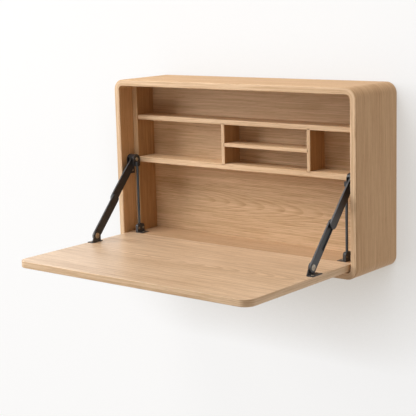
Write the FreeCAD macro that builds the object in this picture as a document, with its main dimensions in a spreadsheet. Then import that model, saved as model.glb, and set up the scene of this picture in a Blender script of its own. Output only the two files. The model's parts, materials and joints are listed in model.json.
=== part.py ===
import FreeCAD, Part

import math
import os
import re

import Sketcher
from FreeCAD import Placement, Rotation, Vector

# Fold down wall desk, in millimetres. X runs along the wall, the wall is the plane y = 0, the desk
# stands out from it towards -Y, and Z is up. The origin is the middle of the wall rail's screw line.
# A depth counts back from the casing's front edge, a height counts up from its underside, and an
# inset counts from a casing side's inner face towards the middle.

SIZES = {
    # casing
    "case_width": 900,
    "case_height": 540,
    "case_depth": 220,
    "wall_thick": 20,
    "corner_radius": 33,
    # wall rail and hanging rail, hooked together on a 45 degree bevel
    "rail_drop": 80,
    "rail_height": 60,
    "rail_thick": 18,
    "rail_length": 760,
    "rail_hole": 6,
    "rail_pitch": 200,
    # drop leaf
    "leaf_thick": 20,
    "leaf_gap": 4.5,
    "leaf_recess": 1,
    "leaf_front_radius": 32,
    "leaf_rear_radius": 8,
    "leaf_edge": 1,
    "cove_gap": 0.5,
    "floor_seam": 0.8,
    # liner and shelves
    "liner_setback": 60,
    "liner_thick": 20,
    "bay_depth": 79,
    "back_thick": 9,
    "corner_ease": 2,
    "shelf_setback": 3,
    "housing": 5,
    "upper_shelf_top": 423,
    "upper_shelf_thick": 15,
    "lower_shelf_top": 288,
    "lower_shelf_thick": 17,
    "divider_thick": 12,
    "left_divider_at": -64,
    "right_divider_at": 250,
    "small_shelf_top": 352,
    "small_shelf_thick": 11,
    # leaf hinge
    "hinge_pin": 8,
    "hinge_pin_depth": 30,
    "hinge_pin_reach": 12,
    "bush_wall": 2,
    "bush_depth": 14,
    "bush_stand": 1.5,
    "running_gap": 0.05,
    # stay pivots
    "stay_setback": 40.5,
    "stay_height": 282,
    "leaf_pin_reach": 165,
    "leaf_pin_rise": 20.5,
    "pivot_pin": 8,
    "pivot_collar": 14,
    "pivot_head": 12,
    # stay links
    "link_width": 30,
    "link_thick": 5,
    "link_space": 1.3,
    "link_tip": 25,
    "link_taper": 60,
    "upper_link_in": 14,
    "upper_link_length": 150,
    "stud_pin": 6,
    "stud_shoulder": 9,
    "stud_gap": 0.4,
    "channel_skin": 1.2,
    "channel_rim": 3,
    "channel_start": 60,
    "channel_end": 12,
    # stay brackets
    "plate_thick": 2.5,
    "cheek_thick": 2.2,
    "cheek_radius": 16,
    "cheek_drop": 22,
    "tail_drop": 48,
    "arch_wall": 2,
    "arch_rise": 6,
    "cut_over": 1,
    "side_gap": 0.3,
    "foot_length": 46,
    "foot_in": 6.5,
    "ear_radius": 15,
    "rivet_head": 18,
    "rivet_rise": 1.5,
    "rivet_back": 0.6,
    # stay rods
    "rod_thick": 8,
    "rod_setback": 36,
    "rod_wall": 1,
    "rod_in": 34,
    "lug_drop": 8,
    "rod_block_height": 28,
    "rod_block_length": 32,
    "rod_block_lead": 14,
    "rod_block_thick": 10,
    "rod_block_corner": 9,
    "rod_rivet_inset": 6,
    "rod_foot_width": 20,
    "rod_foot_thick": 1.5,
    # screws
    "screw_head": 8,
    "screw_rise": 1.6,
    "screw_thick": 4,
    "screw_depth": 14,
}

# Places worked out from the driving sizes, each after the ones that it needs.
LAYOUT = {
    "half_in": "case_width / 2 - wall_thick",
    "base": "rail_drop - case_height",
    "ceiling": "rail_drop - wall_thick",
    "front": "-case_depth",
    "inner_radius": "corner_radius - wall_thick",
    "side_straight": "case_width / 2 - corner_radius",
    "leaf_bottom": "base + wall_thick + leaf_gap",
    "floor_top": "leaf_bottom + leaf_thick",
    "leaf_width": "2 * (half_in - leaf_gap)",
    "leaf_length": "case_height - 2 * wall_thick - 2 * leaf_gap",
    "axis_y": "front + leaf_recess + leaf_thick / 2",
    "axis_z": "leaf_bottom + leaf_thick / 2",
    "cove": "(leaf_thick / 2 - leaf_edge) * sqrt(2) + leaf_edge + cove_gap",
    "liner_y": "front + liner_setback",
    "back_y": "liner_y + bay_depth",
    "liner_half": "half_in - liner_thick",
    "shelf_y": "liner_y + shelf_setback",
    "upper_top": "base + upper_shelf_top",
    "upper_under": "upper_top - upper_shelf_thick",
    "lower_top": "base + lower_shelf_top",
    "lower_under": "lower_top - lower_shelf_thick",
    "small_top": "base + small_shelf_top",
    "top_pin_y": "front + stay_setback",
    "top_pin_z": "base + stay_height",
    "leaf_pin_y": "axis_y - leaf_pin_reach",
    "leaf_pin_z": "floor_top + leaf_pin_rise",
    "stay_span": "sqrt((top_pin_y - leaf_pin_y) ^ 2 + (top_pin_z - leaf_pin_z) ^ 2)",
    "stud_reach": "stay_span - upper_link_length",
    "lower_link_length": "stud_reach + channel_end - link_width / 2",
    "channel_half": "link_width / 2 - channel_rim",
    "lower_link_in": "upper_link_in + link_thick + link_space",
    "cheek_in": "lower_link_in + link_thick + side_gap",
    "cheek_out": "cheek_in + cheek_thick",
    "foot_front": "leaf_pin_y - foot_length / 2",
    "foot_screw": "foot_length / 2 - screw_head",
    "foot_middle": "(foot_in + lower_link_in) / 2",
    "tail_screw": "tail_drop - screw_head - plate_thick",
    "rod_y": "front + rod_setback",
    "block_front": "rod_y - rod_block_lead",
    "block_back": "block_front + rod_block_length",
    "block_middle": "block_front + rod_block_length / 2",
    "block_near": "rod_in - rod_block_thick / 2",
    "block_far": "rod_in + rod_block_thick / 2",
    "foot_screw_in": "block_far + rod_foot_width / 2",
}

doc = FreeCAD.newDocument("FoldDownWallDesk")
home = {}


def spelled(text, inside=None):
    """Puts the sheet's name before each alias in an expression, except an alias of the same sheet."""

    def with_sheet(found):
        sheet = home.get(found.group())
        if sheet is None or sheet is inside:
            return found.group()
        return f"{sheet.Name}.{found.group()}"

    return re.sub("[a-z_]+", with_sheet, str(text))


def fill_sheet(name, cells, sign):
    """One row for each cell. The sign before a formula is "=", and a plain number has none."""
    sheet = doc.addObject("Spreadsheet::Sheet", name)
    for row, (alias, content) in enumerate(cells.items(), start=1):
        home[alias] = sheet
        sheet.set(f"A{row}", alias)
        sheet.setAlias(f"B{row}", alias)
        sheet.set(f"B{row}", sign + spelled(content, sheet))
    doc.recompute()


def size(alias):
    """The present value of a cell."""
    return float(home[alias].get(alias))


fill_sheet("Sizes", SIZES, "")
fill_sheet("Layout", LAYOUT, "=")

SIDES = {"left": -1, "right": 1}
TURNS = (Rotation(Vector(0, 1, 0), 90), Rotation(Vector(1, 0, 0), -90), Rotation())
DRAWN = 100  # side of a board's outline before its two lengths are bound
LEVEL = 0.01  # an edge that rises less than this lies flat
RAIL_HOLES = 4
nodes = []


def bind(piece, prop, text):
    piece.setExpression(prop, spelled(text))


def put(piece, x, y, z, turn=Rotation()):
    piece.Placement = Placement(Vector(), turn)
    for axis, place in zip("xyz", (x, y, z)):
        bind(piece, f"Placement.Base.{axis}", place)
    return piece


def block(name, x, y, z):
    """A box between two planes on each axis."""
    piece = doc.addObject("Part::Box", name)
    for prop, (low, high) in zip(("Length", "Width", "Height"), (x, y, z)):
        bind(piece, prop, f"({high}) - ({low})")
    return put(piece, x[0], y[0], z[0])


def bar(name, radius, x, y, z):
    """A round bar. The axis it runs along has a pair of ends, and the other two have one place."""
    piece = doc.addObject("Part::Cylinder", name)
    run = [isinstance(place, tuple) for place in (x, y, z)].index(True)
    low, high = (x, y, z)[run]
    bind(piece, "Radius", radius)
    bind(piece, "Height", f"({high}) - ({low})")
    start = [low if axis == run else place for axis, place in enumerate((x, y, z))]
    return put(piece, *start, TURNS[run])


def wedge(name, x, y, under, top):
    """A prism along X. Its under and top heights are pairs, for the front end and the back end of y."""
    piece = doc.addObject("Part::Wedge", name)
    cells = {
        "Xmin": x[0],
        "X2min": x[0],
        "Xmax": x[1],
        "X2max": x[1],
        "Ymin": y[0],
        "Ymax": y[1],
        "Zmin": under[0],
        "Z2min": under[1],
        "Zmax": top[0],
        "Z2max": top[1],
    }
    for prop, text in cells.items():
        bind(piece, prop, text)
    return piece


def cut(name, base, *tools):
    tool = tools[0] if len(tools) == 1 else fuse(f"{name}Tools", *tools)
    piece = doc.addObject("Part::Cut", name)
    piece.Base = base
    piece.Tool = tool
    return piece


def common(name, base, tool):
    piece = doc.addObject("Part::Common", name)
    piece.Base = base
    piece.Tool = tool
    return piece


def fuse(name, *pieces):
    piece = doc.addObject("Part::MultiFuse", name)
    piece.Shapes = list(pieces)
    return piece


def group(name, *pieces):
    piece = doc.addObject("Part::Compound", name)
    piece.Links = list(pieces)
    return piece


def keep(label, piece):
    """Marks a finished sub-part, which is written under its label."""
    piece.Label = label
    nodes.append(piece)
    return piece


def at(side, inset):
    """The x of an inset from one casing side."""
    return f"{inset} - half_in" if side < 0 else f"half_in - ({inset})"


def span(side, near, far):
    """The pair of x values of two insets from one casing side, the lower x first."""
    ends = (at(side, near), at(side, far))
    return ends if side < 0 else ends[::-1]


def around(middle, half):
    return (f"{middle} - ({half})", f"{middle} + ({half})")


def plane(body, role):
    return next(item for item in body.Origin.OriginFeatures if item.Role == role)


def edges_where(shape, wanted):
    """The names of the straight edges that a test on their two ends picks."""
    named = enumerate(shape.Edges, start=1)
    picked = [(number, [vertex.Point for vertex in edge.Vertexes]) for number, edge in named]
    return [f"Edge{number}" for number, ends in picked if len(ends) == 2 and wanted(*ends)]


def stands(a, b):
    """True of two ends that stand one above the other."""
    return abs(a.z - b.z) > abs(a.x - b.x) + abs(a.y - b.y)


def fillet(body, name, radius, edges):
    base = body.Tip
    feature = body.newObject("PartDesign::Fillet", name)
    feature.Base = (base, edges)
    bind(feature, "Radius", radius)
    body.Tip = feature
    doc.recompute()
    return feature


def board(name, width, length, thick):
    """A padded rectangle with one corner on the body's origin: width on X, length on Y, thick on Z."""
    body = doc.addObject("PartDesign::Body", name)
    sketch = body.newObject("Sketcher::SketchObject", f"{name}Outline")
    sketch.AttachmentSupport = [(plane(body, "XY_Plane"), "")]
    sketch.MapMode = "FlatFace"
    corners = [Vector(0, 0), Vector(DRAWN, 0), Vector(DRAWN, DRAWN), Vector(0, DRAWN)]
    for start, end in zip(corners, corners[1:] + corners[:1]):
        sketch.addGeometry(Part.LineSegment(start, end))
    for line in range(4):
        sketch.addConstraint(Sketcher.Constraint("Coincident", line, 2, (line + 1) % 4, 1))
        sketch.addConstraint(Sketcher.Constraint("Vertical" if line % 2 else "Horizontal", line))
    sketch.addConstraint(Sketcher.Constraint("Coincident", 0, 1, -1, 1))
    for line, text in ((0, width), (1, length)):
        number = sketch.addConstraint(Sketcher.Constraint("Distance", line, DRAWN))
        bind(sketch, f"Constraints[{number}]", text)
    pad = body.newObject("PartDesign::Pad", f"{name}Pad")
    pad.Profile = sketch
    bind(pad, "Length", thick)
    doc.recompute()
    return body


def quarter(name, x, z, turn):
    """A quarter of a ring along Y, which joins two casing walls at right angles."""
    outer = doc.addObject("Part::Cylinder", f"{name}Outer")
    inner = doc.addObject("Part::Cylinder", f"{name}Inner")
    outer.Angle = 90
    for piece, radius in ((outer, "corner_radius"), (inner, "inner_radius")):
        bind(piece, "Radius", radius)
        bind(piece, "Height", "case_depth")
        put(piece, x, "0", z, Rotation(Vector(1, 0, 0), 90) * Rotation(Vector(0, 0, 1), turn))
    return cut(name, outer, inner)


def side_screws(name, side, places):
    """Pan head screws through a bracket plate into a casing side: the screws, and their shanks."""
    shanks = []
    screws = []
    for number, (y, z) in enumerate(places):
        run = span(side, "-screw_depth", "plate_thick")
        shank = bar(f"{name}Shank{number}", "screw_thick / 2", run, y, z)
        reach = span(side, "plate_thick", "plate_thick + screw_rise")
        head = bar(f"{name}Head{number}", "screw_head / 2", reach, y, z)
        shanks.append(shank)
        screws.append(fuse(f"{name}Screw{number}", shank, head))
    return group(name, *screws), shanks


def floor_screws(name, places, plate):
    """Pan head screws down through a plate into the board below it: the screws, and their shanks."""
    shanks = []
    screws = []
    for number, (x, y) in enumerate(places):
        run = ("floor_top - screw_depth", f"floor_top + {plate}")
        shank = bar(f"{name}Shank{number}", "screw_thick / 2", x, y, run)
        top = (f"floor_top + {plate}", f"floor_top + {plate} + screw_rise")
        head = bar(f"{name}Head{number}", "screw_head / 2", x, y, top)
        shanks.append(shank)
        screws.append(fuse(f"{name}Screw{number}", shank, head))
    return (group(name, *screws) if len(screws) > 1 else screws[0]), shanks


def link(name, x, length, start, tip):
    """
    A flat link with round ends. It lies along Y from its first pivot, which is on the X axis, and it
    widens from the half width of its tip there to its full width at the start of its shank.
    """
    half = "link_width / 2"
    taper = wedge(f"{name}Taper", x, ("0", start), (f"-({tip})", f"-{half}"), (tip, half))
    shank = block(f"{name}Shank", x, (start, length), (f"-{half}", half))
    near = bar(f"{name}Near", tip, x, "0", "0")
    far = bar(f"{name}Far", half, x, length, "0")
    return fuse(f"{name}Blank", taper, shank, near, far)


def stay_angle():
    """The turn about X from the +Y direction to the line from the leaf pin up to the top pin."""
    rise = size("top_pin_z") - size("leaf_pin_z")
    run = size("top_pin_y") - size("leaf_pin_y")
    return math.degrees(math.atan2(rise, run))


def turn_about_x(piece, y, z, angle):
    piece.Placement = Placement(Vector(0, size(y), size(z)), Rotation(Vector(1, 0, 0), angle))
    return piece


# Hinge and stay pins that both a board and its metalwork need

pins = {}
for name, side in SIDES.items():
    key = name.title()
    pin_run = span(side, "-hinge_pin_reach", "leaf_gap + hinge_pin_depth")
    pins[name] = bar(f"{key}HingePin", "hinge_pin / 2", pin_run, "axis_y", "axis_z")

tail_screws = {}
leaf_screws = {}
rod_screws = {}
for name, side in SIDES.items():
    key = name.title()
    tail_places = [(f"top_pin_y {sign} screw_head", "top_pin_z - tail_screw") for sign in "-+"]
    tail_screws[name] = side_screws(f"{key}TailScrews", side, tail_places)
    leaf_places = [(at(side, "foot_middle"), f"leaf_pin_y {sign} foot_screw") for sign in "-+"]
    leaf_screws[name] = floor_screws(f"{key}LeafScrews", leaf_places, "plate_thick")
    rod_places = [(at(side, "foot_screw_in"), "block_middle")]
    rod_screws[name] = floor_screws(f"{key}RodScrew", rod_places, "rod_foot_thick")


# Casing: four flat walls joined by four quarter round corners

DEPTH = ("front", "0")
INSIDE = ("-half_in", "half_in")
STRAIGHT = ("-side_straight", "side_straight")
HEIGHT = ("base + wall_thick", "ceiling")
BUSH_RADIUS = "hinge_pin / 2 + running_gap + bush_wall"

keep("casing_top", block("TopWall", STRAIGHT, DEPTH, ("ceiling", "rail_drop")))
keep("casing_bottom", block("BottomWall", STRAIGHT, DEPTH, ("base", "base + wall_thick")))

for name, side in SIDES.items():
    key = name.title()
    bush_run = span(side, "-bush_depth", "inner_radius")
    bush_hole = bar(f"{key}BushHole", BUSH_RADIUS, bush_run, "axis_y", "axis_z")
    upright = ("base + corner_radius", "rail_drop - corner_radius")
    wall = block(f"{key}Wall", span(side, "-wall_thick", "0"), DEPTH, upright)
    keep(f"casing_{name}", cut(f"{key}WallBored", wall, bush_hole, *tail_screws[name][1]))
    middle = f"{side} * side_straight"
    upper = quarter(f"{key}UpperCorner", middle, "rail_drop - corner_radius", 90 if side < 0 else 0)
    lower = quarter(f"{key}LowerCorner", middle, "base + corner_radius", 180 if side < 0 else 270)
    keep(f"corner_top_{name}", upper)
    keep(f"corner_bottom_{name}", cut(f"{key}LowerCornerBored", lower, bush_hole))

    sleeve_run = span(side, "-bush_depth", "bush_stand")
    sleeve = bar(f"{key}Sleeve", BUSH_RADIUS, sleeve_run, "axis_y", "axis_z")
    bore = bar(f"{key}SleeveBore", "hinge_pin / 2 + running_gap", sleeve_run, "axis_y", "axis_z")
    keep(f"hinge_bush_{name}", cut(f"{key}Bush", sleeve, bore))

# The room inside the casing, a little rounder than its corners, which shapes the boards that fit it

room = board("Room", "2 * half_in", "ceiling - base - wall_thick", "case_depth")
fillet(room, "RoomCorners", "inner_radius + corner_ease", edges_where(room.Shape, stands))
put(room, "-half_in", "0", "base + wall_thick", Rotation(Vector(1, 0, 0), 90))


# Back panel, floor, liner sides, shelves and dividers

back = block("BackBoard", INSIDE, ("back_y", "back_y + back_thick"), HEIGHT)
keep("back_panel", common("BackPanel", back, room))

slab_run = ("axis_y + leaf_thick / 2 + floor_seam", "back_y")
slab = block("FloorSlab", INSIDE, slab_run, ("base + wall_thick", "floor_top"))
cove = bar("FloorCove", "cove", INSIDE, "axis_y", "axis_z")
rod_shanks = [shank for name in SIDES for shank in rod_screws[name][1]]
keep("inner_floor", cut("Floor", common("FloorFitted", slab, room), cove, *rod_shanks))

SHELF_RUN = ("shelf_y", "back_y")
shelf_width = around("0", "liner_half + housing")
upper_raw = block("UpperShelfBoard", shelf_width, SHELF_RUN, ("upper_under", "upper_top"))
lower_raw = block("LowerShelfBoard", shelf_width, SHELF_RUN, ("lower_under", "lower_top"))
small_width = (
    "left_divider_at + divider_thick / 2 - housing",
    "right_divider_at - divider_thick / 2 + housing",
)
small = block("SmallShelf", small_width, SHELF_RUN, ("small_top - small_shelf_thick", "small_top"))
keep("small_shelf", small)

dividers = []
for name in SIDES:
    key = name.title()
    width = around(f"{name}_divider_at", "divider_thick / 2")
    tall = block(f"{key}DividerBoard", width, SHELF_RUN, ("lower_top - housing", "upper_under + housing"))
    dividers.append(tall)
    keep(f"divider_{name}", cut(f"{key}Divider", tall, small))
keep("upper_shelf", cut("UpperShelf", upper_raw, *dividers))
keep("lower_shelf", cut("LowerShelf", lower_raw, *dividers))

for name, side in SIDES.items():
    key = name.title()
    liner_width = span(side, "0", "liner_thick")
    upright = block(f"{key}LinerBoard", liner_width, ("liner_y", "back_y"), ("floor_top", "ceiling"))
    fitted = common(f"{key}LinerFitted", upright, room)
    keep(f"liner_{name}", cut(f"{key}Liner", fitted, upper_raw, lower_raw))


# Wall rail and hanging rail

RAIL_RUN = ("-rail_thick", "0")
bevel = ("rail_height / 2", "rail_height / 2 - rail_thick")
rail_under = ("-rail_height / 2", "-rail_height / 2")
rail = wedge("WallRailBoard", around("0", "rail_length / 2"), RAIL_RUN, rail_under, bevel)
holes = []
for number in range(RAIL_HOLES):
    place = f"{number - (RAIL_HOLES - 1) / 2} * rail_pitch"
    holes.append(bar(f"RailHole{number}", "rail_hole / 2", place, RAIL_RUN, "0"))
keep("wall_rail", cut("WallRail", rail, *holes))
hanger = wedge("HangingRailBoard", INSIDE, RAIL_RUN, bevel, ("ceiling", "ceiling"))
keep("hanging_rail", common("HangingRail", hanger, room))


# Drop leaf, which turns on a pin in each end near its rear edge

leaf = board("LeafBoard", "leaf_width", "leaf_length", "leaf_thick")
middle = size("leaf_length") / 2
front_edges = edges_where(leaf.Shape, lambda a, b: stands(a, b) and a.y < middle)
fillet(leaf, "LeafFrontCorners", "leaf_front_radius", front_edges)
rear_edges = edges_where(leaf.Shape, lambda a, b: stands(a, b) and a.y > middle)
fillet(leaf, "LeafRearCorners", "leaf_rear_radius", rear_edges)
rims = []
for number, edge in enumerate(leaf.Shape.Edges, start=1):
    if edge.BoundBox.ZLength < LEVEL:
        rims.append(f"Edge{number}")
fillet(leaf, "LeafEase", "leaf_edge", rims)
put(leaf, "-leaf_width / 2", "axis_y + leaf_thick / 2 - leaf_length", "leaf_bottom")
leaf_shanks = [shank for name in SIDES for shank in leaf_screws[name][1]]
keep("leaf", cut("Leaf", leaf, *pins.values(), *leaf_shanks))
for name in SIDES:
    keep(f"hinge_pin_{name}", pins[name])


# Stays: a bracket on the casing side and one on the leaf, with two links between their pins. The
# upper link's stud runs in the lower link's channel.

def top_bracket(key, side, top_pin, rod):
    """A plate on the casing side, bent over in an arch into a cheek, with a lug for the rod."""
    centre = ("top_pin_y", "top_pin_z")
    x = span(side, "0", "cheek_out")
    plate = span(side, "0", "plate_thick")
    width = around("top_pin_y", "cheek_radius")
    arch = bar(f"{key}Arch", "cheek_radius", x, *centre)
    skirt = block(f"{key}Skirt", x, width, ("top_pin_z - cheek_drop", "top_pin_z"))
    tail = block(f"{key}Tail", plate, width, ("top_pin_z - tail_drop", "top_pin_z"))
    lug_run = span(side, "cheek_out", "rod_in + rod_thick / 2 + rod_wall")
    lug_height = ("top_pin_z - cheek_drop", "top_pin_z - lug_drop")
    lug = block(f"{key}Lug", lug_run, around("rod_y", "rod_thick / 2 + rod_wall"), lug_height)
    gap = span(side, "plate_thick", "cheek_in")
    opening = block(
        f"{key}Opening",
        gap,
        around("top_pin_y", "cheek_radius + cut_over"),
        ("top_pin_z - cheek_drop - cut_over", "top_pin_z + arch_rise"),
    )
    hollow = bar(f"{key}Hollow", "cheek_radius - arch_wall", gap, *centre)
    whole = fuse(f"{key}BracketWhole", arch, skirt, tail, lug)
    return cut(f"{key}Bracket", whole, opening, hollow, top_pin, rod, *tail_screws[key.lower()][1])


def top_pin_parts(key, side):
    centre = ("top_pin_y", "top_pin_z")
    core = bar(f"{key}TopPinCore", "pivot_pin / 2", span(side, "0", "cheek_out"), *centre)
    runs = {
        "Outer": ("pivot_collar / 2", span(side, "plate_thick", "upper_link_in - side_gap")),
        "Inner": ("pivot_collar / 2", span(side, "upper_link_in + link_thick + side_gap", "cheek_in")),
        "Head": ("pivot_head / 2", span(side, "cheek_out", "cheek_out + rivet_rise")),
    }
    rings = [bar(f"{key}TopPin{end}", radius, run, *centre) for end, (radius, run) in runs.items()]
    return core, fuse(f"{key}TopPin", core, *rings)


def rod_block(key, side, rod):
    """The block that holds the rod's foot, with round upper corners, a foot plate and two rivets."""
    x = span(side, "block_near", "block_far")
    run = ("block_front", "block_back")
    top = "floor_top + rod_block_height"
    shoulder = f"{top} - rod_block_corner"
    ends = ("block_front + rod_block_corner", "block_back - rod_block_corner")
    parts = [
        block(f"{key}RodBody", x, run, ("floor_top", shoulder)),
        block(f"{key}RodCrown", x, ends, ("floor_top", top)),
        block(
            f"{key}RodFoot",
            span(side, "block_near", "block_far + rod_foot_width"),
            run,
            ("floor_top", "floor_top + rod_foot_thick"),
        ),
    ]
    for number, y in enumerate(ends):
        parts.append(bar(f"{key}RodCorner{number}", "rod_block_corner", x, y, shoulder))
    rivets = []
    shafts = []
    for number, y in enumerate(("block_front + rod_rivet_inset", "block_back - rod_rivet_inset")):
        place = (y, "floor_top + rod_block_height / 2")
        shaft = bar(f"{key}RodShaft{number}", "screw_thick / 2", x, *place)
        reach = span(side, "block_far", "block_far + screw_rise")
        head = bar(f"{key}RodHead{number}", "screw_head / 2", reach, *place)
        shafts.append(shaft)
        rivets.append(fuse(f"{key}RodRivet{number}", shaft, head))
    whole = fuse(f"{key}RodBlockWhole", *parts)
    shanks = rod_screws[key.lower()][1]
    return cut(f"{key}RodBlock", whole, rod, *shafts, *shanks), group(f"{key}RodRivets", *rivets)


def leaf_bracket(key, side, rivet_shaft):
    """A foot on the leaf with one upright ear beside the lower link, which slopes down to its front."""
    ear_run = span(side, "cheek_in", "cheek_out")
    ear = bar(f"{key}Ear", "ear_radius", ear_run, "leaf_pin_y", "leaf_pin_z")
    stem = block(f"{key}Stem", ear_run, around("leaf_pin_y", "ear_radius"), ("floor_top", "leaf_pin_z"))
    plate = ("floor_top", "floor_top + plate_thick")
    nose_run = ("foot_front", "leaf_pin_y - ear_radius")
    nose = wedge(f"{key}Nose", ear_run, nose_run, ("floor_top", "floor_top"), (plate[1], "leaf_pin_z"))
    foot_run = ("foot_front", "foot_front + foot_length")
    foot = block(f"{key}LeafFoot", span(side, "foot_in", "cheek_out"), foot_run, plate)
    whole = fuse(f"{key}LeafBracketWhole", ear, stem, nose, foot)
    return cut(f"{key}LeafBracket", whole, rivet_shaft, *leaf_screws[key.lower()][1])


def leaf_rivet(key, side):
    centre = ("leaf_pin_y", "leaf_pin_z")
    back_run = span(side, "lower_link_in - side_gap - rivet_back", "lower_link_in - side_gap")
    shaft_run = span(side, "lower_link_in - side_gap", "cheek_out")
    shaft = bar(f"{key}RivetShaft", "pivot_pin / 2", shaft_run, *centre)
    back = bar(f"{key}RivetBack", "rivet_head / 2", back_run, *centre)
    reach = span(side, "cheek_out", "cheek_out + rivet_rise")
    head = bar(f"{key}RivetHead", "rivet_head / 2", reach, *centre)
    return shaft, fuse(f"{key}Rivet", shaft, back, head)


def upper_link(key, side):
    x = span(side, "upper_link_in", "upper_link_in + link_thick")
    bore = bar(f"{key}UpperBore", "pivot_pin / 2 + running_gap", x, "0", "0")
    tip = span(side, "upper_link_in", "lower_link_in + link_thick - channel_skin - side_gap")
    stud = bar(f"{key}StudPin", "stud_pin / 2", tip, "upper_link_length", "0")
    shoulder_run = span(side, "upper_link_in + link_thick", "lower_link_in - side_gap")
    shoulder = bar(f"{key}StudShoulder", "stud_shoulder / 2", shoulder_run, "upper_link_length", "0")
    blank = link(f"{key}Upper", x, "upper_link_length", "link_taper", "link_tip / 2")
    return cut(f"{key}UpperLink", blank, bore, stud), fuse(f"{key}Stud", stud, shoulder)


def lower_link(key, side):
    """The channel is open towards the casing side, and its round end stops the stud."""
    x = span(side, "lower_link_in", "lower_link_in + link_thick")
    blank = link(f"{key}Lower", x, "lower_link_length", "channel_start", "link_width / 2")
    bore = bar(f"{key}LowerBore", "pivot_pin / 2 + running_gap", x, "0", "0")
    x = span(side, "lower_link_in", "lower_link_in + link_thick - channel_skin")
    stop = "stud_reach + stud_pin / 2 + stud_gap - channel_half"
    trough = block(f"{key}Trough", x, ("channel_start", stop), around("0", "channel_half"))
    end = bar(f"{key}TroughEnd", "channel_half", x, stop, "0")
    return cut(f"{key}LowerLink", blank, bore, trough, end)


lean = stay_angle()
for name, side in SIDES.items():
    key = name.title()
    top_core, top_pin = top_pin_parts(key, side)
    rod_run = ("floor_top + rod_foot_thick", "top_pin_z - lug_drop - rod_wall")
    rod = bar(f"{key}Rod", "rod_thick / 2", at(side, "rod_in"), "rod_y", rod_run)
    keep(f"top_bracket_{name}", top_bracket(key, side, top_core, rod))
    keep(f"top_pin_{name}", top_pin)
    keep(f"top_bracket_screws_{name}", tail_screws[name][0])
    keep(f"stay_rod_{name}", rod)
    base, rivets = rod_block(key, side, rod)
    keep(f"rod_block_{name}", base)
    keep(f"rod_block_rivets_{name}", rivets)
    keep(f"rod_block_screw_{name}", rod_screws[name][0])
    rivet_shaft, rivet = leaf_rivet(key, side)
    keep(f"leaf_bracket_{name}", leaf_bracket(key, side, rivet_shaft))
    keep(f"leaf_rivet_{name}", rivet)
    keep(f"leaf_bracket_screws_{name}", leaf_screws[name][0])
    upper, stud = upper_link(key, side)
    keep(f"upper_link_{name}", turn_about_x(upper, "top_pin_y", "top_pin_z", lean + 180))
    keep(f"slide_stud_{name}", turn_about_x(stud, "top_pin_y", "top_pin_z", lean + 180))
    lower = lower_link(key, side)
    keep(f"lower_link_{name}", turn_about_x(lower, "leaf_pin_y", "leaf_pin_z", lean))


# Checks and files

doc.recompute()
failed = [item.Label for item in doc.Objects if {"Invalid", "Error"} & set(item.State)]
broken = [item.Label for item in nodes if item.Shape.isNull() or not item.Shape.isValid()]
if failed or broken:
    raise RuntimeError(f"failed: {failed}, broken: {broken}")

os.makedirs("parts", exist_ok=True)
for item in nodes:
    item.Shape.exportStep(f"parts/{item.Label}.step")
print(f"{len(nodes)} sub-parts, stay lean {lean:.3f} degrees, stud reach {size('stud_reach'):.2f} mm")
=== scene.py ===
import json
import math

import bmesh
import bpy
import numpy as np
from mathutils import Matrix, Vector


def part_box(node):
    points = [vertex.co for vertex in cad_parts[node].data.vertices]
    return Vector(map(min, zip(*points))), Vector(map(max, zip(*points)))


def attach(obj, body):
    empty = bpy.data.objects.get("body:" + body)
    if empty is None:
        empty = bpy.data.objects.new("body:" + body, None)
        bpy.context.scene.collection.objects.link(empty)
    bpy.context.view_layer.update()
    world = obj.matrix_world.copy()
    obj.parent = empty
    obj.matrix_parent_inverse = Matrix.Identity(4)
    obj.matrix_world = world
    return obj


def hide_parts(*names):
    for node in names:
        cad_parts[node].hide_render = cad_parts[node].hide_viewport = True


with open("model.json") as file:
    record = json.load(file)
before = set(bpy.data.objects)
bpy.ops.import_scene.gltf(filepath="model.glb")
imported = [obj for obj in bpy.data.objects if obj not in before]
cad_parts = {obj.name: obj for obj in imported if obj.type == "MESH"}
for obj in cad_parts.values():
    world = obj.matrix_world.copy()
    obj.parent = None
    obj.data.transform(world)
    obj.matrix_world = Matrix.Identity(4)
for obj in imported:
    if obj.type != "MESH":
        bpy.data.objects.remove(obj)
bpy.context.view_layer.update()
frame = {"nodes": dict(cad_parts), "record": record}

scene = bpy.context.scene
nodes = frame["nodes"]
record = frame["record"]
bodyOf = {node: body for body, members in record["behaviour"]["bodies"].items() for node in members}
sides = {"left": -1, "right": 1}
print("frame loaded:", len(nodes), "nodes")


# The linear colour of an sRGB triple from 0 to 255.
def tint(red, green, blue):
    share = np.array([red, green, blue]) / 255
    linear = np.where(share <= 0.04045, share / 12.92, ((share + 0.055) / 1.055) ** 2.4)
    return (*linear.tolist(), 1.0)


# A shader node with its settings, and with its inputs set, or linked where the value is another's output.
def addNode(tree, kind, inputs=None, **settings):
    node = tree.nodes.new(kind)
    for name, value in settings.items():
        setattr(node, name, value)
    for name, value in (inputs or {}).items():
        if isinstance(value, bpy.types.NodeSocket):
            tree.links.new(value, node.inputs[name])
        else:
            node.inputs[name].default_value = value
    return node


# One step of arithmetic on numbers or sockets.
def calc(tree, operation, *values, clamp=False):
    inputs = dict(enumerate(values))
    return addNode(tree, "ShaderNodeMath", inputs, operation=operation, use_clamp=clamp).outputs[0]


# Takes the range low to high smoothly onto another one.
def remap(tree, value, low, high, toLow=0.0, toHigh=1.0):
    inputs = {"Value": value, "From Min": low, "From Max": high, "To Min": toLow, "To Max": toHigh}
    return addNode(tree, "ShaderNodeMapRange", inputs, interpolation_type="SMOOTHSTEP").outputs["Result"]


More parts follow.
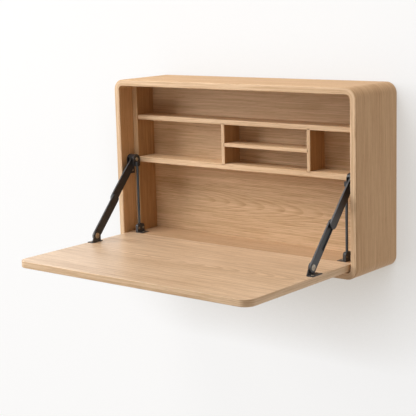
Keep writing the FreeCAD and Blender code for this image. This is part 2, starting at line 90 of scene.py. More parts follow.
# Noise whose cells are scaled apart on each axis, per metre.
def stretchedNoise(tree, place, scale, detail=2.0, roughness=0.5):
    wide = addNode(tree, "ShaderNodeVectorMath", {0: place, 1: scale}, operation="MULTIPLY").outputs[0]
    inputs = {"Vector": wide, "Scale": 1.0, "Detail": detail, "Roughness": roughness}
    return addNode(tree, "ShaderNodeTexNoise", inputs).outputs["Fac"]


# Mixes or multiplies two colours by a share.
def blend(tree, kind, share, first, second):
    inputs = {0: share, 6: first, 7: second}
    return addNode(tree, "ShaderNodeMix", inputs, data_type="RGBA", blend_type=kind).outputs[2]


# A shader group with its sockets, and the sockets of its two end nodes.
def newGroup(name, inputs, outputs):
    group = bpy.data.node_groups.new(name, "ShaderNodeTree")
    for label, kind, value in inputs:
        socket = group.interface.new_socket(label, in_out="INPUT", socket_type=kind)
        if value is not None:
            socket.default_value = value
    for label, kind in outputs:
        group.interface.new_socket(label, in_out="OUTPUT", socket_type=kind)
    return group, group.nodes.new("NodeGroupInput").outputs, group.nodes.new("NodeGroupOutput").inputs


# Oak veneer. Its tone is a weighted sum of the layers below, fibres and arches, where the arches are the
# rings of a leaning log: the fraction of the distance from the log's axis over the ring width. Dark pores
# lie over it as short dashes. The place's first axis runs along the grain.
oakFigure = {
    "sway": 0.010,  # metres that the grain wanders across a board
    "ripple": 0.0010,  # and over a hand's width
    "ringsPerMetre": 105.0,
    "ringSway": 0.03,  # metres that the rings wander across a board
    "ringRipple": 0.0060,  # and over a hand's width
    "logSquash": 2.4,  # how much closer the rings stand across a board than through it
    "logDepth": 0.075,  # metres from the sheet to the log's axis
    "logKnoll": 0.07,  # metres that this depth wanders
    "logLean": 0.14,
    "ringShare": 0.42,  # of the tone, where the finish has its arches at full strength
    "fibreShare": 0.14,
    "middleTone": 0.46,  # the tone that a finish's contrast leaves as it is
    "poreTone": tint(150, 106, 66),
    "poreShare": 0.30,
}
toneLayers = {  # cells per metre on each axis, detail, roughness, range that is stretched, share of the tone
    "bands": ((0.8, 17, 17), 1, 0.5, 0.25, 0.75, 0.10),
    "stripes": ((3.2, 130, 130), 3, 0.6, 0.34, 0.66, 0.20),
    "streaks": ((6, 300, 300), 2, 0.6, 0.38, 0.62, 0.28),
    "flecks": ((10, 230, 230), 2, 0.5, 0.58, 0.70, 0.12),
    "clouds": ((1.1, 3.2, 3.2), 1, 0.5, 0.25, 0.75, 0.14),
}


def makeOakGroup():
    group, given, made = newGroup(
        "oakGrain",
        [
            ("Place", "NodeSocketVector", None),
            ("Pale", "NodeSocketColor", None),
            ("Deep", "NodeSocketColor", None),
            ("Arch", "NodeSocketFloat", 1.0),
            ("Contrast", "NodeSocketFloat", 1.0),
            ("Dull", "NodeSocketFloat", 0.4),
        ],
        [("Color", "NodeSocketColor"), ("Roughness", "NodeSocketFloat"), ("Height", "NodeSocketFloat")],
    )
    place = given["Place"]
    parts = addNode(group, "ShaderNodeSeparateXYZ", {"Vector": place}).outputs
    sway = calc(group, "SUBTRACT", stretchedNoise(group, place, (1.7, 5, 5), 1), 0.5)
    ripple = calc(group, "SUBTRACT", stretchedNoise(group, place, (9, 28, 28), 2), 0.5)
    drift = calc(group, "MULTIPLY", sway, oakFigure["sway"])
    drift = calc(group, "MULTIPLY_ADD", ripple, oakFigure["ripple"], drift)
    across = calc(group, "ADD", parts["Y"], drift)
    through = calc(group, "ADD", parts["Z"], drift)
    bowed = addNode(group, "ShaderNodeCombineXYZ", {"X": parts["X"], "Y": across, "Z": through}).outputs[0]

    # rings of the leaning log
    knoll = calc(group, "SUBTRACT", stretchedNoise(group, place, (1.2, 2.4, 2.4), 1), 0.5)
    depth = calc(group, "MULTIPLY_ADD", parts["X"], oakFigure["logLean"], oakFigure["logDepth"])
    depth = calc(group, "MULTIPLY_ADD", knoll, oakFigure["logKnoll"], depth)
    wide = calc(group, "ADD", parts["Y"], parts["Z"])
    wide = calc(group, "MULTIPLY_ADD", sway, oakFigure["ringSway"], wide)
    wide = calc(group, "MULTIPLY", wide, oakFigure["logSquash"])
    reach = calc(group, "MULTIPLY_ADD", wide, wide, calc(group, "MULTIPLY", depth, depth))
    reach = calc(group, "MULTIPLY_ADD", ripple, oakFigure["ringRipple"], calc(group, "SQRT", reach))
    turn = calc(group, "FRACT", calc(group, "MULTIPLY", reach, oakFigure["ringsPerMetre"]))
    ring = calc(group, "MULTIPLY", remap(group, turn, 0.30, 0.90), remap(group, turn, 1.0, 0.91))
    fade = remap(group, stretchedNoise(group, place, (2.4, 14, 14), 2), 0.25, 0.60)
    ring = calc(group, "MULTIPLY", calc(group, "MULTIPLY", ring, fade), given["Arch"])

    # the tone's weighted sum; the broad clouds don't wander with the grain
    fibres = stretchedNoise(group, bowed, (14, 700, 700), 2, 0.6)
    pores = remap(group, stretchedNoise(group, bowed, (34, 1150, 1150), 1), 0.60, 0.74)
    tone = 0.0
    for name, (scale, detail, roughness, low, high, share) in toneLayers.items():
        layer = stretchedNoise(group, place if name == "clouds" else bowed, scale, detail, roughness)
        tone = calc(group, "MULTIPLY_ADD", remap(group, layer, low, high), share, tone)
    tone = calc(group, "MULTIPLY_ADD", ring, oakFigure["ringShare"], tone)
    tone = calc(group, "MULTIPLY_ADD", fibres, oakFigure["fibreShare"], tone)
    middle = oakFigure["middleTone"]
    tone = calc(group, "SUBTRACT", tone, middle)
    tone = calc(group, "MULTIPLY_ADD", tone, given["Contrast"], middle, clamp=True)
    body = blend(group, "MIX", tone, given["Pale"], given["Deep"])
    poreShare = calc(group, "MULTIPLY", pores, oakFigure["poreShare"])
    group.links.new(blend(group, "MULTIPLY", poreShare, body, oakFigure["poreTone"]), made["Color"])
    rough = calc(group, "MULTIPLY_ADD", fibres, 0.12, given["Dull"])
    group.links.new(calc(group, "MULTIPLY_ADD", pores, 0.16, rough), made["Roughness"])
    low = calc(group, "MULTIPLY_ADD", pores, -0.7, calc(group, "MULTIPLY", fibres, 0.35))
    group.links.new(calc(group, "MULTIPLY_ADD", ring, 0.10, low), made["Height"])
    return group


# The orange peel of a powder coat, and the faint dust and rubbing that lie on it.
def makeGritGroup():
    group, given, made = newGroup(
        "powderGrit",
        [
            ("Place", "NodeSocketVector", None),
            ("Coat", "NodeSocketColor", None),
            ("Rubbed", "NodeSocketColor", None),
        ],
        [("Color", "NodeSocketColor"), ("Roughness", "NodeSocketFloat"), ("Height", "NodeSocketFloat")],
    )
    place = given["Place"]
    peel = stretchedNoise(group, place, (1400, 1400, 1400), 2)
    cloud = remap(group, stretchedNoise(group, place, (24, 24, 24), 3), 0.35, 0.75)
    coat = blend(group, "MIX", calc(group, "MULTIPLY", cloud, 0.35), given["Coat"], given["Rubbed"])
    group.links.new(coat, made["Color"])
    group.links.new(calc(group, "MULTIPLY_ADD", cloud, 0.12, 0.38), made["Roughness"])
    group.links.new(peel, made["Height"])
    return group


# Turned or plated metal: fine lines round the piece and slow shifts of tone.
def makeTurnedGroup():
    group, given, made = newGroup(
        "turnedMetal",
        [
            ("Place", "NodeSocketVector", None),
            ("Metal", "NodeSocketColor", None),
            ("Dull", "NodeSocketColor", None),
        ],
        [("Color", "NodeSocketColor"), ("Roughness", "NodeSocketFloat"), ("Height", "NodeSocketFloat")],
    )
    place = given["Place"]
    cloud = remap(group, stretchedNoise(group, place, (160, 160, 160), 3), 0.30, 0.75)
    lines = stretchedNoise(group, place, (2600, 900, 900), 1)
    group.links.new(blend(group, "MIX", cloud, given["Metal"], given["Dull"]), made["Color"])
    group.links.new(calc(group, "MULTIPLY_ADD", cloud, 0.20, 0.28), made["Roughness"])
    group.links.new(lines, made["Height"])
    return group


# A Principled surface fed by one group. The place is an attribute's name, or how far the pattern on Object
# coordinates is moved. The relief is a bump's strength and its depth in metres.
def newMaterial(name, group, place, values, relief, surface=None):
    material = bpy.data.materials.new(name)
    material.use_nodes = True
    tree = material.node_tree
    shader = tree.nodes["Principled BSDF"]
    if isinstance(place, str):
        where = addNode(tree, "ShaderNodeAttribute", attribute_name=place).outputs["Vector"]
    else:
        where = addNode(tree, "ShaderNodeTexCoord").outputs["Object"]
        where = addNode(tree, "ShaderNodeMapping", {"Vector": where, "Location": place}).outputs["Vector"]
    pattern = addNode(tree, "ShaderNodeGroup", node_tree=group)
    tree.links.new(where, pattern.inputs["Place"])
    for label, value in values.items():
        pattern.inputs[label].default_value = value
    inputs = {"Height": pattern.outputs["Height"], "Strength": relief[0], "Distance": relief[1]}
    bump = addNode(tree, "ShaderNodeBump", inputs)
    tree.links.new(bump.outputs["Normal"], shader.inputs["Normal"])
    tree.links.new(pattern.outputs["Color"], shader.inputs["Base Color"])
    tree.links.new(pattern.outputs["Roughness"], shader.inputs["Roughness"])
    for label, value in (surface or {}).items():
        shader.inputs[label].default_value = value
    return material


oakFinishes = {  # paler and deeper tone, strength of the arches, contrast, dullness
    "leafOak": (tint(230, 202, 171), tint(181, 148, 114), 0.55, 1.7, 0.30),
    "edgeOak": (tint(231, 201, 167), tint(188, 151, 112), 0.0, 1.4, 0.42),
    "casingOak": (tint(219, 181, 139), tint(176, 133, 89), 0.10, 0.95, 0.55),
    "insideOak": (tint(228, 197, 162), tint(181, 147, 109), 0.60, 1.2, 0.46),
    # painted shade: a darker copy of the inside oak, for the contact shade on the inner floor
    "shadedFloorOak": (tint(208, 175, 141), tint(165, 130, 95), 0.50, 1.2, 0.42),
    "shelfOak": (tint(222, 190, 153), tint(174, 138, 99), 0.36, 1.15, 0.42),
    # painted shade: the liners' and dividers' sides take this darker copy of the oak, for the shade they
    # stand in
    "shadedUprightOak": (tint(193, 154, 111), tint(150, 109, 68), 0.0, 1.2, 0.46),
    "railWood": (tint(214, 184, 140), tint(170, 134, 92), 0.50, 1.1, 0.50),
}


def newOak(name, place, shine=0.28):
    values = dict(zip(("Pale", "Deep", "Arch", "Contrast", "Dull"), oakFinishes[name]))
    return newMaterial(name, oakGroup, place, values, (0.22, 0.0005), {"Specular IOR Level": shine})


oakGroup = makeOakGroup()
gritGroup = makeGritGroup()
turnedGroup = makeTurnedGroup()
leafOak = newOak("leafOak", "grain", 0.75)
edgeOak = newOak("edgeOak", "band")
casingOak = newOak("casingOak", "grain")
insideOak = newOak("insideOak", (0.15, 0.0, 0.39))
shadedFloorOak = newOak("shadedFloorOak", (0.35, 0.30, 0.56))
shelfOak = newOak("shelfOak", "grain")
shadedUprightOak = newOak("shadedUprightOak", "grain")
railWood = newOak("railWood", (0.3, 0.1, 0.0))
metalTones = {  # the tone of a fresh place and of a worn or dull one
    "blackSteel": {"Coat": tint(38, 38, 40), "Rubbed": tint(70, 70, 74)},
    "rodSteel": {"Coat": tint(62, 67, 73), "Rubbed": tint(98, 106, 112)},
    "nickel": {"Metal": tint(176, 165, 149), "Dull": tint(142, 131, 115)},
    "brass": {"Metal": tint(190, 156, 92), "Dull": tint(150, 116, 62)},
}


def newMetal(name, group, bump, metallic):
    return newMaterial(name, group, (0, 0, 0), metalTones[name], (bump, 0.0002), {"Metallic": metallic})


blackSteel = newMetal("blackSteel", gritGroup, 0.15, 0.0)
rodSteel = newMetal("rodSteel", gritGroup, 0.10, 0.55)
nickel = newMetal("nickel", turnedGroup, 0.08, 0.85)
brass = newMetal("brass", turnedGroup, 0.08, 1.0)
print("materials made")


# Puts a mesh in the scene as the piece that stands for a node: it rides on the node's body and takes the
# finishes it is given. Faces that meet at less than the angle are shaded as one.
def placePiece(mesh, node, materials, smoothAngle):
    mesh.polygons.foreach_set("use_smooth", np.ones(len(mesh.polygons), dtype=bool))
    mesh.set_sharp_from_angle(angle=math.radians(smoothAngle))
    mesh.materials.clear()
    for material in materials:
        mesh.materials.append(material)
    piece = bpy.data.objects.new(mesh.name, mesh)
    scene.collection.objects.link(piece)
    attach(piece, bodyOf[node])
    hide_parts(node)
    return piece


# Makes a node's new piece from points and faces, with its faces turned outwards.
def keepMesh(name, points, faces, node, materials, smoothAngle=40):
    mesh = bpy.data.meshes.new(name)
    mesh.from_pydata(np.asarray(points).tolist(), [], faces)
    work = bmesh.new()
    work.from_mesh(mesh)
    bmesh.ops.recalc_face_normals(work, faces=work.faces)
    work.to_mesh(mesh)
    work.free()
    return placePiece(mesh, node, materials, smoothAngle)


# Keeps the shading of a board's flat faces flat beside its eased rims.
def evenNormals(piece):
    weighted = piece.modifiers.new("evenNormals", "WEIGHTED_NORMAL")
    weighted.keep_sharp = True


def storeVectors(mesh, name, values):
    attribute = mesh.attributes.new(name, "FLOAT_VECTOR", "POINT")
    attribute.data.foreach_set("vector", np.asarray(values, dtype=np.float32).ravel())


facing = 0.6  # share of a face's normal above which the face looks along that axis


def faceNormals(mesh):
    normals = np.zeros(len(mesh.polygons) * 3, dtype=np.float32)
    mesh.polygons.foreach_get("normal", normals)
    return normals.reshape(-1, 3)


# Gives each face the finish of that number in the mesh's list of materials.
def finishFaces(mesh, numbers):
    mesh.polygons.foreach_set("material_index", numbers.astype(np.int32))


# Quads between each loop of points and the next, and a flat cap on the first loop and the last. The start
# is the first point's number.
def loopFaces(loops, around, start=0):
    first = start + np.arange(loops - 1)[:, None] * around
    here = np.arange(around)[None, :]
    after = (here + 1) % around
    quads = np.stack([first + here, first + after, first + around + after, first + around + here], axis=-1)
    firstCap = start + here[0, ::-1]
    lastCap = start + (loops - 1) * around + here[0]
    return quads.reshape(-1, 4).tolist() + [firstCap.tolist(), lastCap.tolist()]


# A rectangle with a quarter circle at each corner, from the low corner anticlockwise. A corner's point is
# its centre plus the radius times the cosine and sine of an angle. Gives a function for the outline drawn
# in by an inset, and the distance along the outline.
def roundedOutline(low, high, radii, steps=10):
    corners = np.array([(low[0], low[1]), (high[0], low[1]), (high[0], high[1]), (low[0], high[1])])
    inward = np.array([(1, 1), (-1, 1), (-1, -1), (1, -1)])
    radii = np.asarray(radii, float)
    centres = corners + inward * radii[:, None]
    angles = np.radians(np.linspace(0, 90, steps)[None, :] + np.array([180, 270, 0, 90])[:, None])
    spokes = np.stack([np.cos(angles), np.sin(angles)], axis=-1)

    def drawnIn(inset):
        shown = np.maximum(radii - inset, 0)[:, None, None]
        return (centres[:, None, :] + spokes * shown).reshape(-1, 2)

    run = np.concatenate([[0], np.cumsum(np.linalg.norm(np.diff(drawnIn(0), axis=0), axis=1))])
    return drawnIn, run


# Levels through a board's thickness and how far the outline is drawn in at each: at both faces the level
# follows one less the sine, and the inset one less the cosine, of an angle from 0 to 90 degrees.
def easedSteps(low, high, ease, steps=5):
    angles = np.radians(np.linspace(0, 90, steps))
    place = ease * (1 - np.sin(angles))
    inset = ease * (1 - np.cos(angles))
    return np.concatenate([low + place[::-1], high - place]), np.concatenate([inset[::-1], inset])


casing = {
    "frontEase": 0.0028,  # radius of the two long edges at the front
    "backEase": 0.0010,  # and at the wall
    "easeSteps": 6,
    "cornerSteps": 20,
    "grainPlace": (0.35, 0.2),  # where in the log the faces' pattern lies, across the grain and through
    "bandPlace": 0.6,
}


# The section of a wall as pairs of inset from its outer face and depth: a rectangle whose corners are
# quarter circles, each its centre plus the ease times the cosine and sine of an angle.
def casingProfile(thick, front, back):
    corners = [
        (0, back, casing["backEase"], 1, -1, 90),
        (0, front, casing["frontEase"], 1, 1, 180),
        (thick, front, casing["frontEase"], -1, 1, 270),
        (thick, back, casing["backEase"], -1, -1, 0),
    ]
    points = []
    for inset, depth, ease, goIn, goDeep, start in corners:
        angle = np.radians(np.linspace(start, start + 90, casing["easeSteps"]))
        centre = (inset + goIn * ease, depth + goDeep * ease)
        points.append(np.stack([centre[0] + ease * np.cos(angle), centre[1] + ease * np.sin(angle)], axis=-1))
    return np.concatenate(points)


# One profile carried round a rectangle with round corners, a length of it for each node. A point of the
# path goes along a straight wall or round a corner, with a normal that points out. A point of the wall is
# the path's centre plus that normal times the corner radius less the inset, at the profile's depth.
def buildCasing():
    topLow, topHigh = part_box("casing_top")
    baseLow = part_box("casing_bottom")[0]
    cornerLow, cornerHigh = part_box("corner_top_right")
    radius = cornerHigh.x - cornerLow.x
    thick = topHigh.z - topLow.z
    straight = topHigh.x
    upper, lower = topHigh.z - radius, baseLow.z + radius
    profile = casingProfile(thick, topLow.y, topHigh.y)
    bend = (radius - thick / 2) * math.pi / 2
    walls = [  # node, the two ends of its path, angle of the normal at each end
        ("casing_top", (straight, upper), (-straight, upper), (90, 90)),
        ("corner_top_left", (-straight, upper), (-straight, upper), (90, 180)),
        ("casing_left", (-straight, upper), (-straight, lower), (180, 180)),
        ("corner_bottom_left", (-straight, lower), (-straight, lower), (180, 270)),
        ("casing_bottom", (-straight, lower), (straight, lower), (270, 270)),
        ("corner_bottom_right", (straight, lower), (straight, lower), (270, 360)),
        ("casing_right", (straight, lower), (straight, upper), (0, 0)),
        ("corner_top_right", (straight, upper), (straight, upper), (0, 90)),
    ]
    run = 0.0
    for node, start, end, angles in walls:
        bent = angles[0] != angles[1]
        steps = casing["cornerSteps"] if bent else 2
        share = np.linspace(0, 1, steps)[:, None]
        centres = np.array(start) * (1 - share) + np.array(end) * share
        angle = np.radians(angles[0] + (angles[1] - angles[0]) * share)
        normals = np.concatenate([np.cos(angle), np.sin(angle)], axis=1)
        spots = centres[:, None, :] + normals[:, None, :] * (radius - profile[:, 0])[None, :, None]
        depth = np.broadcast_to(profile[:, 1], spots.shape[:2])
        points = np.stack([spots[..., 0], depth, spots[..., 1]], axis=-1).reshape(-1, 3)
        length = bend if bent else float(np.linalg.norm(np.subtract(end, start)))
        along = np.broadcast_to(run + share * length, spots.shape[:2])
        inset = np.broadcast_to(profile[:, 0], spots.shape[:2])
        faces = loopFaces(steps, len(profile))
        piece = keepMesh(f"{node}_veneered", points, faces, node, [casingOak, edgeOak])
        evenNormals(piece)
        across, through = casing["grainPlace"]
        storeVectors(piece.data, "grain", np.stack([along, depth + across, inset + through], axis=-1))
        across = np.full_like(inset, casing["bandPlace"])
        storeVectors(piece.data, "band", np.stack([along, across, inset], axis=-1))
        finishFaces(piece.data, faceNormals(piece.data)[:, 1] < -facing)
        run += length


buildCasing()
print("casing made")


boards = {  # outline axes, stacking axis, grain axis, ease, place of the pattern, face and edge finish
    "leaf": ((0, 1), 2, 0, 0.0016, (0.35, 0.30, 0.56), (leafOak, edgeOak, casingOak)),
    "upper_shelf": ((0, 2), 1, 0, 0.0015, (0.2, 0.9, 0.3), (shelfOak, edgeOak)),
    "lower_shelf": ((0, 2), 1, 0, 0.0015, (1.4, 0.2, 0.5), (shelfOak, edgeOak)),
    "small_shelf": ((0, 2), 1, 0, 0.0012, (0.7, 0.5, 0.9), (shelfOak, edgeOak)),
    # the dividers and liners take the darker oak, which is painted shade
    "divider_left": ((0, 2), 1, 2, 0.0012, (0.3, 0.7, 0.2), (shadedUprightOak, edgeOak)),
    "divider_right": ((0, 2), 1, 2, 0.0012, (2.1, 0.4, 0.6), (shadedUprightOak, edgeOak)),
    "liner_left": ((0, 2), 1, 2, 0.0018, (0.9, 0.8, 0.1), (shadedUprightOak, shelfOak)),
    "liner_right": ((0, 2), 1, 2, 0.0018, (1.7, 0.1, 0.8), (shadedUprightOak, shelfOak)),
}
innerCorner = 0.015  # radius that clears the casing's inner corner
roundCorners = {
    "leaf": [0.032, 0.032, 0.008, 0.008],
    "liner_left": [0, 0, 0, innerCorner],
    "liner_right": [0, 0, innerCorner, 0],
}
leafBandPlace = 0.31  # where in the log the pattern of the leaf's edge lies


# A board in the box of its node. The plane's two axes hold its outline, and loops of it are stacked along
# the third axis with eased rims. The grain's place is the point's own, with the grain's axis first. The
# edge strip's place is the same, or where the strip goes all round it is the distance along the outline.
def easedBoard(node, plane, through, grain, ease, shift, materials, stripGoesRound):
    low, high = (np.array(corner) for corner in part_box(node))
    flat = list(plane)
    least = ease * 1.3  # a square corner keeps a little radius where its rim is drawn in
    radii = [max(radius, least) for radius in roundCorners.get(node, [0] * 4)]
    drawnIn, run = roundedOutline(low[flat], high[flat], radii)
    levels, insets = easedSteps(low[through], high[through], ease)
    points = np.zeros((len(levels), len(run), 3))
    points[:, :, flat] = np.stack([drawnIn(inset) for inset in insets])
    points[:, :, through] = levels[:, None]
    faces = loopFaces(len(levels), len(run))
    piece = keepMesh(f"{node}_veneered", points.reshape(-1, 3), faces, node, materials)
    evenNormals(piece)
    order = [grain] + [axis for axis in (0, 1, 2) if axis != grain]
    grainPlaces = bandPlaces = points[:, :, order]
    if stripGoesRound:
        bandPlaces = np.stack(np.broadcast_arrays(run[None, :], leafBandPlace, levels[:, None]), axis=-1)
    storeVectors(piece.data, "grain", grainPlaces + np.array(shift))
    storeVectors(piece.data, "band", bandPlaces + np.array(shift))
    return piece


# A shelf's front edge is the face that looks at the room. The leaf's edge goes all round it, and its
# underside, which is the desk's front when it is shut, is finished as the casing is.
def buildBoards():
    for node, board in boards.items():
        piece = easedBoard(node, *board, stripGoesRound=node == "leaf")
        normals = faceNormals(piece.data)
        if node == "leaf":
            below = np.where(normals[:, 2] < -facing, 2, 1)
            finishFaces(piece.data, np.where(normals[:, 2] > facing, 0, below))
        else:
            finishFaces(piece.data, normals[:, 1] < -facing)


# Gives a CAD node, whose shape is right as it is, its finish.
def finishNode(node, material):
    nodes[node].data.materials.clear()
    nodes[node].data.materials.append(material)


buildBoards()
finishNode("back_panel", insideOak)
# the inner floor's darker oak is painted contact shade
finishNode("inner_floor", shadedFloorOak)
for node in ("hanging_rail", "wall_rail"):
    finishNode(node, railWood)
print("boards made")


# A copy of a node's mesh with its doubles merged, flat faces joined and its arrises rounded.
def softened(node, width, material, segments=2):
    mesh = nodes[node].data.copy()
    mesh.name = f"{node}_softened"
    work = bmesh.new()
    work.from_mesh(mesh)
    bmesh.ops.remove_doubles(work, verts=work.verts, dist=1e-6)
    bmesh.ops.dissolve_limit(work, angle_limit=math.radians(1), verts=work.verts, edges=work.edges)
    work.to_mesh(mesh)
    work.free()
    piece = placePiece(mesh, node, [material], smoothAngle=30)
    bevel = piece.modifiers.new("arrises", "BEVEL")
    bevel.width = width
    bevel.segments = segments
    bevel.limit_method = "ANGLE"
    bevel.angle_limit = math.radians(30)
    bevel.harden_normals = True


steelEase = {  # width of the rounded arrises
    "top_bracket": 0.0006,
    "leaf_bracket": 0.0006,
    "rod_block": 0.0008,
    "upper_link": 0.0008,
    "lower_link": 0.0008,
    "slide_stud": 0.0003,
}
pinEase = {"top_pin": 0.0004, "hinge_pin": 0.0004}
screwHead = {
    "radius": 0.004,
    "height": 0.0016,
    "spokes": 48,
    "rings": 22,
    "crown": 0.55,  # share of the height that the dome takes
    "crownPower": 2.4,
    "crossArm": 0.58,  # arm of the cross recess, as a share of the head's radius
    "crossWidth": 0.15,
    "crossSoft": 0.035,  # width of its sloping sides
    "crossDepth": 0.9,  # as a share of the head's height
    "shank": 0.0019,
    "bury": 0.010,  # metres of shank below the seat
}
rivetHead = {
    "rise": 0.0015,  # height of the inner head
    "rim": 0.18,  # share of it that the upright rim takes
    "domeSteps": 8,
    "shaft": 0.0038,
    "disc": 0.0006,  # thickness of the outer head
    "discEase": (0.0003, 0.0001),  # its chamfer, across and down
    "spokes": 56,
}


# Turns heights above a seat, given on a grid of rings and spokes, into points about an axis.
def placeHead(centre, axis, sign, radii, angles, heights):
    first, second = [other for other in (0, 1, 2) if other != axis]
    points = np.zeros((*heights.shape, 3))
    points[..., first] = centre[first] + radii * np.cos(angles)
    points[..., second] = centre[second] + radii * np.sin(angles)
    points[..., axis] = centre[axis] + sign * heights
    return points.reshape(-1, 3)


# The points of a pan head with a cross recess on a plain shank. The crown's height falls with a power of
# the share of the radius, the cross takes a depth away where a spoke lies within an arm, and the sides go
# down to the seat and along the shank.
def screwPoints(centre, axis, sign):
    radius, height, spokes = screwHead["radius"], screwHead["height"], screwHead["spokes"]
    angle = np.linspace(0, 2 * math.pi, spokes, endpoint=False)[None, :]
    share = np.linspace(0.02, 1, screwHead["rings"])[:, None]
    level = height * (1 - screwHead["crown"] * share ** screwHead["crownPower"]) * np.ones_like(angle)
    side, rise = np.abs(share * np.cos(angle)), np.abs(share * np.sin(angle))
    arm, width, soft = screwHead["crossArm"], screwHead["crossWidth"], screwHead["crossSoft"]
    upright = np.clip((width - side) / soft, 0, 1) * np.clip((arm - rise) / soft, 0, 1)
    lying = np.clip((width - rise) / soft, 0, 1) * np.clip((arm - side) / soft, 0, 1)
    cross = np.maximum(upright, lying)
    level = level - cross * screwHead["crossDepth"] * height * (1 - 0.6 * np.maximum(side, rise))
    shank, bury = screwHead["shank"], screwHead["bury"]
    tail = np.array([(radius, 0.0), (shank, 0.0), (shank, -bury), (0.3 * shank, -bury)])
    radii = np.concatenate([radius * share[:, 0], tail[:, 0]])[:, None] * np.ones_like(angle)
    heights = np.concatenate([level, tail[:, 1:] * np.ones_like(angle)])
    return placeHead(centre, axis, sign, radii, angle, heights)


# Screws of one node. They sit at both ends of its box along the row's axis, or alone in its middle.
def buildScrews(node, axis, sign, row=None):
    low, high = (np.array(corner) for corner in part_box(node))
    radius, spokes = screwHead["radius"], screwHead["spokes"]
    middle = (low + high) / 2
    middle[axis] = (high[axis] if sign > 0 else low[axis]) - sign * screwHead["height"]
    centres = [middle]
    if row is not None:
        centres = [middle + (place - middle) * np.eye(3)[row] for place in (low + radius, high - radius)]
    points, faces = [], []
    for centre in centres:
        points.append(screwPoints(centre, axis, sign))
        loops = len(points[-1]) // spokes
        faces += loopFaces(loops, spokes, start=(len(points) - 1) * loops * spokes)
    keepMesh(f"{node}_turned", np.concatenate(points), faces, node, [nickel], smoothAngle=30)


# The rivet through the leaf bracket: a profile of places along X and radii, turned about the pin's axis.
# Its inner head is a low dome, and its outer head a thin disc.
def buildRivet(side):
    node = f"leaf_rivet_{side}"
    low, high = (np.array(corner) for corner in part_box(node))
    middle = (low + high) / 2
    radius = (high[2] - low[2]) / 2
    reach = high[0] - low[0]
    bend = np.radians(np.linspace(90, 6, rivetHead["domeSteps"]))
    rise, shaft, disc = rivetHead["rise"], rivetHead["shaft"], rivetHead["disc"]
    rim = rise * rivetHead["rim"]
    across, down = rivetHead["discEase"]
    dome = np.stack([radius * np.cos(bend), reach - rise + rim + (rise - rim) * np.sin(bend)], axis=-1)
    tail = [(radius, reach - rise), (shaft, reach - rise), (shaft, disc), (radius, disc), (radius, down),
            (radius - across, 0), (radius * 0.05, 0)]
    profile = np.concatenate([np.maximum(dome, (radius * 0.02, 0)), tail])
    angle = np.linspace(0, 2 * math.pi, rivetHead["spokes"], endpoint=False)[None, :]
    inward = -sides[side]
    base = middle.copy()
    base[0] = low[0] if inward > 0 else high[0]
    ones = np.ones_like(angle)
    points = placeHead(base, 0, inward, profile[:, :1] * ones, angle, profile[:, 1:] * ones)
    faces = loopFaces(len(profile), angle.size)
    keepMesh(f"{node}_turned", points, faces, node, [nickel], smoothAngle=30)


for side, outward in sides.items():
    for name, width in steelEase.items():
        softened(f"{name}_{side}", width, blackSteel)
    for name, width in pinEase.items():
        softened(f"{name}_{side}", width, nickel)
    buildScrews(f"top_bracket_screws_{side}", 0, -outward, row=1)
    buildScrews(f"rod_block_rivets_{side}", 0, -outward, row=1)
    buildScrews(f"leaf_bracket_screws_{side}", 2, 1, row=1)
    buildScrews(f"rod_block_screw_{side}", 2, 1)
    buildRivet(side)
    finishNode(f"hinge_bush_{side}", brass)
    finishNode(f"stay_rod_{side}", rodSteel)
print("metalwork made")


room = {
    "wallReach": 12.0,
    "wallPlace": 0.0006,  # just behind the desk's back
    "wallPaint": (0.15, 0.145, 0.14, 1),  # what it takes from the lamps, with their long soft shadows
    "wallGlow": 0.82,
    "shadeTint": (0.36, 0.30, 0.22, 1),  # depth and warmth of the soft shade close to the desk
    "shadeReach": 0.34,
    "shadeLean": (-0.20, -0.60, 0.77),  # where the light comes from that the shade keeps off
    "aroundTint": (1.0, 0.985, 0.965, 1),
    "roomStrength": 0.07,  # light that comes from the room's side
    "wallStrength": 0.85,  # and from the wall's side, which the wall sends back
    "backdrop": 0.97,
}


# A pale wall that the camera sees from its front only. Most of its white is its own, held back softly
# where the desk stands in the way, and the rest is the lamps'.
def buildWall():
    mesh = bpy.data.meshes.new("wall")
    reach, deep = room["wallReach"], room["wallPlace"]
    corners = [(-reach, deep, -reach), (reach, deep, -reach), (reach, deep, reach), (-reach, deep, reach)]
    mesh.from_pydata(corners, [], [[0, 1, 2, 3]])
    wall = bpy.data.objects.new("wall", mesh)
    scene.collection.objects.link(wall)
    material = bpy.data.materials.new("wallPaint")
    material.use_nodes = True
    tree = material.node_tree
    shader = tree.nodes["Principled BSDF"]
    shader.inputs["Base Color"].default_value = room["wallPaint"]
    shader.inputs["Roughness"].default_value = 0.9
    shader.inputs["Specular IOR Level"].default_value = 0.0
    lean = addNode(tree, "ShaderNodeCombineXYZ", dict(zip("XYZ", room["shadeLean"]))).outputs[0]
    inputs = {"Distance": room["shadeReach"], "Normal": lean}
    clearance = addNode(tree, "ShaderNodeAmbientOcclusion", inputs, samples=12)
    glow = blend(tree, "MIX", clearance.outputs["AO"], room["shadeTint"], (1, 1, 1, 1))
    tree.links.new(glow, shader.inputs["Emission Color"])
    shader.inputs["Emission Strength"].default_value = room["wallGlow"]
    seen = addNode(tree, "ShaderNodeLightPath").outputs["Is Camera Ray"]
    behind = addNode(tree, "ShaderNodeNewGeometry").outputs["Backfacing"]
    shown = calc(tree, "MULTIPLY", seen, calc(tree, "SUBTRACT", 1.0, behind))
    clear = addNode(tree, "ShaderNodeBsdfTransparent").outputs[0]
    mix = addNode(tree, "ShaderNodeMixShader", {0: shown, 1: clear, 2: shader.outputs[0]})
    tree.links.new(mix.outputs[0], tree.nodes["Material Output"].inputs["Surface"])
    mesh.materials.append(material)


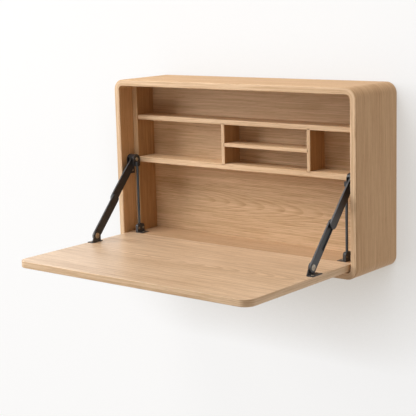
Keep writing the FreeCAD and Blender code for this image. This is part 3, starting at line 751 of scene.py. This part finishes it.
lamps = {  # place, aim, width, watts, colour
    "window": ((-3.8, -2.6, 1.2), (0.0, -0.3, -0.2), 3.0, 176.0, (1.0, 0.985, 0.965)),
    "ceiling": ((-0.8, -2.1, 3.2), (0.0, -0.4, -0.3), 2.0, 106.0, (1.0, 0.985, 0.965)),
    "front": ((0.2, -4.0, 2.6), (0.0, -0.3, -0.2), 3.0, 5.0, (1.0, 0.985, 0.965)),
    "floor": ((-0.5, -3.5, -2.2), (0.0, -0.3, -0.2), 2.5, 27.0, (1.0, 0.97, 0.93)),
    "right": ((3.2, -2.4, 0.3), (0.1, -0.1, -0.2), 2.2, 14.0, (1.0, 0.72, 0.45)),
}


def buildLamps():
    for name, (place, aim, width, watts, colour) in lamps.items():
        data = bpy.data.lights.new(name, "AREA")
        data.shape = "DISK"
        data.size = width
        data.energy = watts
        data.color = colour
        lamp = bpy.data.objects.new(name, data)
        scene.collection.objects.link(lamp)
        lamp.location = place
        lamp.rotation_euler = (Vector(aim) - Vector(place)).to_track_quat("-Z", "Y").to_euler()


# Light from all round, stronger from the wall's side. The camera and mirrors see an even pale room instead.
def buildWorld():
    world = bpy.data.worlds.new("room")
    scene.world = world
    world.use_nodes = True
    tree = world.node_tree
    around = tree.nodes["Background"]
    around.inputs["Color"].default_value = room["aroundTint"]
    direction = addNode(tree, "ShaderNodeTexCoord").outputs["Generated"]
    towardsWall = addNode(tree, "ShaderNodeSeparateXYZ", {"Vector": direction}).outputs["Y"]
    strength = remap(tree, towardsWall, -0.3, 0.3, room["roomStrength"], room["wallStrength"])
    tree.links.new(strength, around.inputs["Strength"])
    paths = addNode(tree, "ShaderNodeLightPath").outputs
    shown = calc(tree, "MAXIMUM", paths["Is Camera Ray"], paths["Is Glossy Ray"])
    inputs = {"Color": (1, 1, 1, 1), "Strength": room["backdrop"]}
    backdrop = addNode(tree, "ShaderNodeBackground", inputs).outputs[0]
    mix = addNode(tree, "ShaderNodeMixShader", {0: shown, 1: around.outputs[0], 2: backdrop})
    tree.links.new(mix.outputs[0], tree.nodes["World Output"].inputs["Surface"])


camera = {  # place in metres, angles in degrees, lens in mm on a 36 mm sensor
    "place": (2.185, -2.998, 0.354),
    "yaw": 39.17,
    "pitch": -10.36,
    "roll": -1.55,
    "lens": 103.5,
}


# The view direction is turned from +Y towards -X by the yaw and raised by the pitch, and the frame is then
# rolled about it.
def buildCamera():
    yaw, pitch, roll = (math.radians(camera[name]) for name in ("yaw", "pitch", "roll"))
    ahead = Vector((-math.sin(yaw) * math.cos(pitch), math.cos(yaw) * math.cos(pitch), math.sin(pitch)))
    right = Vector((math.cos(yaw), math.sin(yaw), 0))
    up = right.cross(ahead)
    right, up = (right * math.cos(roll) + up * math.sin(roll), up * math.cos(roll) - right * math.sin(roll))
    data = bpy.data.cameras.new("camera")
    data.sensor_width = 36.0
    data.lens = camera["lens"]
    eye = bpy.data.objects.new("camera", data)
    scene.collection.objects.link(eye)
    turned = Matrix((right, up, -ahead)).transposed().to_4x4()
    eye.matrix_world = Matrix.Translation(camera["place"]) @ turned
    scene.camera = eye


buildWall()
buildLamps()
buildWorld()
buildCamera()
scene.view_settings.view_transform = "Standard"
print("room, lamps and camera made")
